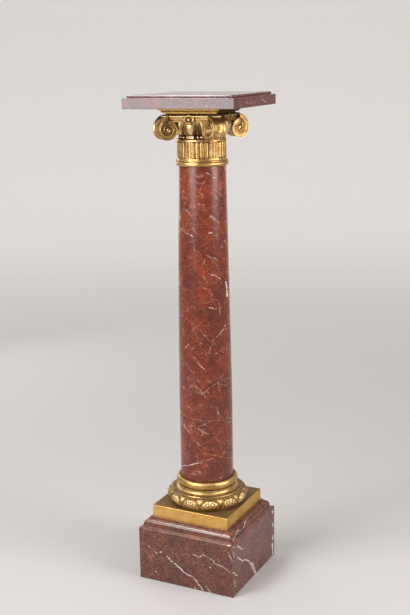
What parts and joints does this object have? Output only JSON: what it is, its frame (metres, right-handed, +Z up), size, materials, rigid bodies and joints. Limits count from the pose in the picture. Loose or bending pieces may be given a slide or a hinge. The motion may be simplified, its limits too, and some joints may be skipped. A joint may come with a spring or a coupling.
{
  "type": "marble pedestal column",
  "caption": "Free-standing marble pedestal column with a square block, a tapering round shaft, a square top slab, and a gilt bronze Ionic capital, neck collar and leaf-carved base ring.",
  "frame": {"origin": "centre of the square underside of the marble block", "axes": "+Z up along the shaft; the block's faces look along X and Y; the capital and slab are turned 3.4 degrees towards +Y from +X, as pictured"},
  "size_m": [0.2704, 0.2704, 1.12],
  "materials": {
    "marble": "polished brown-red marble with pale veins",
    "gilt_bronze": "gilt bronze, satin and burnished, dark in the hollows"
  },
  "bodies": {
    "root": {"marble_plinth_block": "marble", "bronze_plinth": "gilt_bronze", "bronze_base_ring": "gilt_bronze", "marble_shaft": "marble", "bronze_neck_collar": "gilt_bronze", "bronze_capital": "gilt_bronze", "bronze_capital_plate": "gilt_bronze", "marble_top_slab": "marble"}
  },
  "joints": []
}
